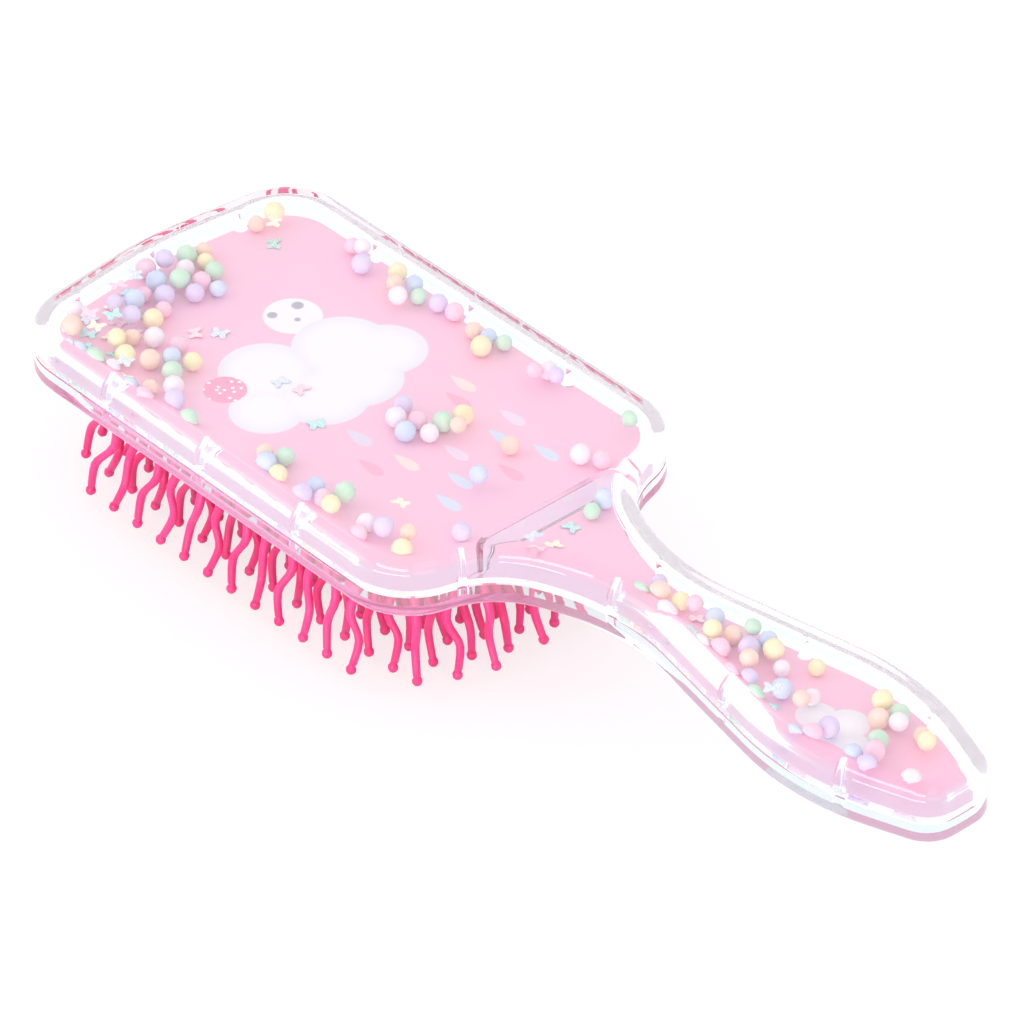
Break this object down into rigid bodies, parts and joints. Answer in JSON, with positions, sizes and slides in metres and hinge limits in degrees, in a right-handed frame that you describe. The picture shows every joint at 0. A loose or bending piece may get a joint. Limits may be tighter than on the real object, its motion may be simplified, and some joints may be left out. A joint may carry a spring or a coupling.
{
  "type": "paddle hairbrush",
  "caption": "Paddle hairbrush with a clear case of loose foam beads and foil confetti over a pink card, and wavy ball-tipped bristles on an air cushion.",
  "frame": {"origin": "centre of the brush's footprint, on the plane that the middle bristles' tips stand on", "axes": "+X from the head to the handle's tip, +Y across the head, +Z from the bristles out of the back panel"},
  "size_m": [0.2395, 0.0786, 0.0375],
  "materials": {
    "clear_case": "polished clear acrylic-like plastic",
    "printed_card": "satin pink print",
    "pink_plate": "smooth pink",
    "pink_rubber": "matt",
    "bristle_nylon": "satin hot pink",
    "foam_pink": "matt foam",
    "foam_lilac": "matt foam",
    "foam_blue": "matt foam",
    "foam_mint": "matt foam",
    "foam_yellow": "matt foam",
    "foam_peach": "matt foam",
    "foam_white": "matt foam",
    "foil_teal": "iridescent foil",
    "foil_gold": "iridescent foil",
    "foil_pink": "iridescent foil",
    "foil_silver": "iridescent foil"
  },
  "bodies": {
    "case": {"back_shell": "clear_case", "front_shell": "clear_case", "beads_pink": "foam_pink", "beads_lilac": "foam_lilac", "beads_blue": "foam_blue", "beads_mint": "foam_mint", "beads_yellow": "foam_yellow", "beads_peach": "foam_peach", "beads_white": "foam_white", "confetti_teal": "foil_teal", "confetti_gold": "foil_gold", "confetti_pink": "foil_pink", "confetti_silver": "foil_silver", "head_card": "printed_card", "handle_card": "printed_card", "base_plate": "pink_plate"},
    "cushion": {"cushion_pad": "pink_rubber"},
    "row_01": {"bristle_row_01": "bristle_nylon"},
    "row_02": {"bristle_row_02": "bristle_nylon"},
    "row_03": {"bristle_row_03": "bristle_nylon"},
    "row_04": {"bristle_row_04": "bristle_nylon"},
    "row_05": {"bristle_row_05": "bristle_nylon"},
    "row_06": {"bristle_row_06": "bristle_nylon"},
    "row_07": {"bristle_row_07": "bristle_nylon"},
    "row_08": {"bristle_row_08": "bristle_nylon"},
    "row_09": {"bristle_row_09": "bristle_nylon"},
    "row_10": {"bristle_row_10": "bristle_nylon"},
    "row_11": {"bristle_row_11": "bristle_nylon"}
  },
  "joints": [
    {"name": "cushion_press", "type": "slide", "parent": "case", "child": "cushion", "axis": [0, 0, 1], "range_m": [0, 0.0025], "stiffness_N_per_m": 2500, "deforming": ["cushion_pad"]},
    {"name": "row_01_lean", "type": "hinge", "parent": "cushion", "child": "row_01", "pos_m": [-0.05625, -0.0295, 0.02297], "axis": [1, 0, 0], "range_deg": [-10, 10], "stiffness_Nm_per_rad": 0.08},
    {"name": "row_02_lean", "type": "hinge", "parent": "cushion", "child": "row_02", "pos_m": [-0.05625, -0.0236, 0.02183], "axis": [1, 0, 0], "range_deg": [-10, 10], "stiffness_Nm_per_rad": 0.08},
    {"name": "row_03_lean", "type": "hinge", "parent": "cushion", "child": "row_03", "pos_m": [-0.05625, -0.0177, 0.0216], "axis": [1, 0, 0], "range_deg": [-10, 10], "stiffness_Nm_per_rad": 0.08},
    {"name": "row_04_lean", "type": "hinge", "parent": "cushion", "child": "row_04", "pos_m": [-0.05625, -0.0118, 0.0216], "axis": [1, 0, 0], "range_deg": [-10, 10], "stiffness_Nm_per_rad": 0.08},
    {"name": "row_05_lean", "type": "hinge", "parent": "cushion", "child": "row_05", "pos_m": [-0.05625, -0.0059, 0.0216], "axis": [1, 0, 0], "range_deg": [-10, 10], "stiffness_Nm_per_rad": 0.08},
    {"name": "row_06_lean", "type": "hinge", "parent": "cushion", "child": "row_06", "pos_m": [-0.05625, 0, 0.0216], "axis": [1, 0, 0], "range_deg": [-10, 10], "stiffness_Nm_per_rad": 0.08},
    {"name": "row_07_lean", "type": "hinge", "parent": "cushion", "child": "row_07", "pos_m": [-0.05625, 0.0059, 0.0216], "axis": [1, 0, 0], "range_deg": [-10, 10], "stiffness_Nm_per_rad": 0.08},
    {"name": "row_08_lean", "type": "hinge", "parent": "cushion", "child": "row_08", "pos_m": [-0.05625, 0.0118, 0.0216], "axis": [1, 0, 0], "range_deg": [-10, 10], "stiffness_Nm_per_rad": 0.08},
    {"name": "row_09_lean", "type": "hinge", "parent": "cushion", "child": "row_09", "pos_m": [-0.05625, 0.0177, 0.0216], "axis": [1, 0, 0], "range_deg": [-10, 10], "stiffness_Nm_per_rad": 0.08},
    {"name": "row_10_lean", "type": "hinge", "parent": "cushion", "child": "row_10", "pos_m": [-0.05625, 0.0236, 0.02183], "axis": [1, 0, 0], "range_deg": [-10, 10], "stiffness_Nm_per_rad": 0.08},
    {"name": "row_11_lean", "type": "hinge", "parent": "cushion", "child": "row_11", "pos_m": [-0.05625, 0.0295, 0.02297], "axis": [1, 0, 0], "range_deg": [-10, 10], "stiffness_Nm_per_rad": 0.08}
  ]
}
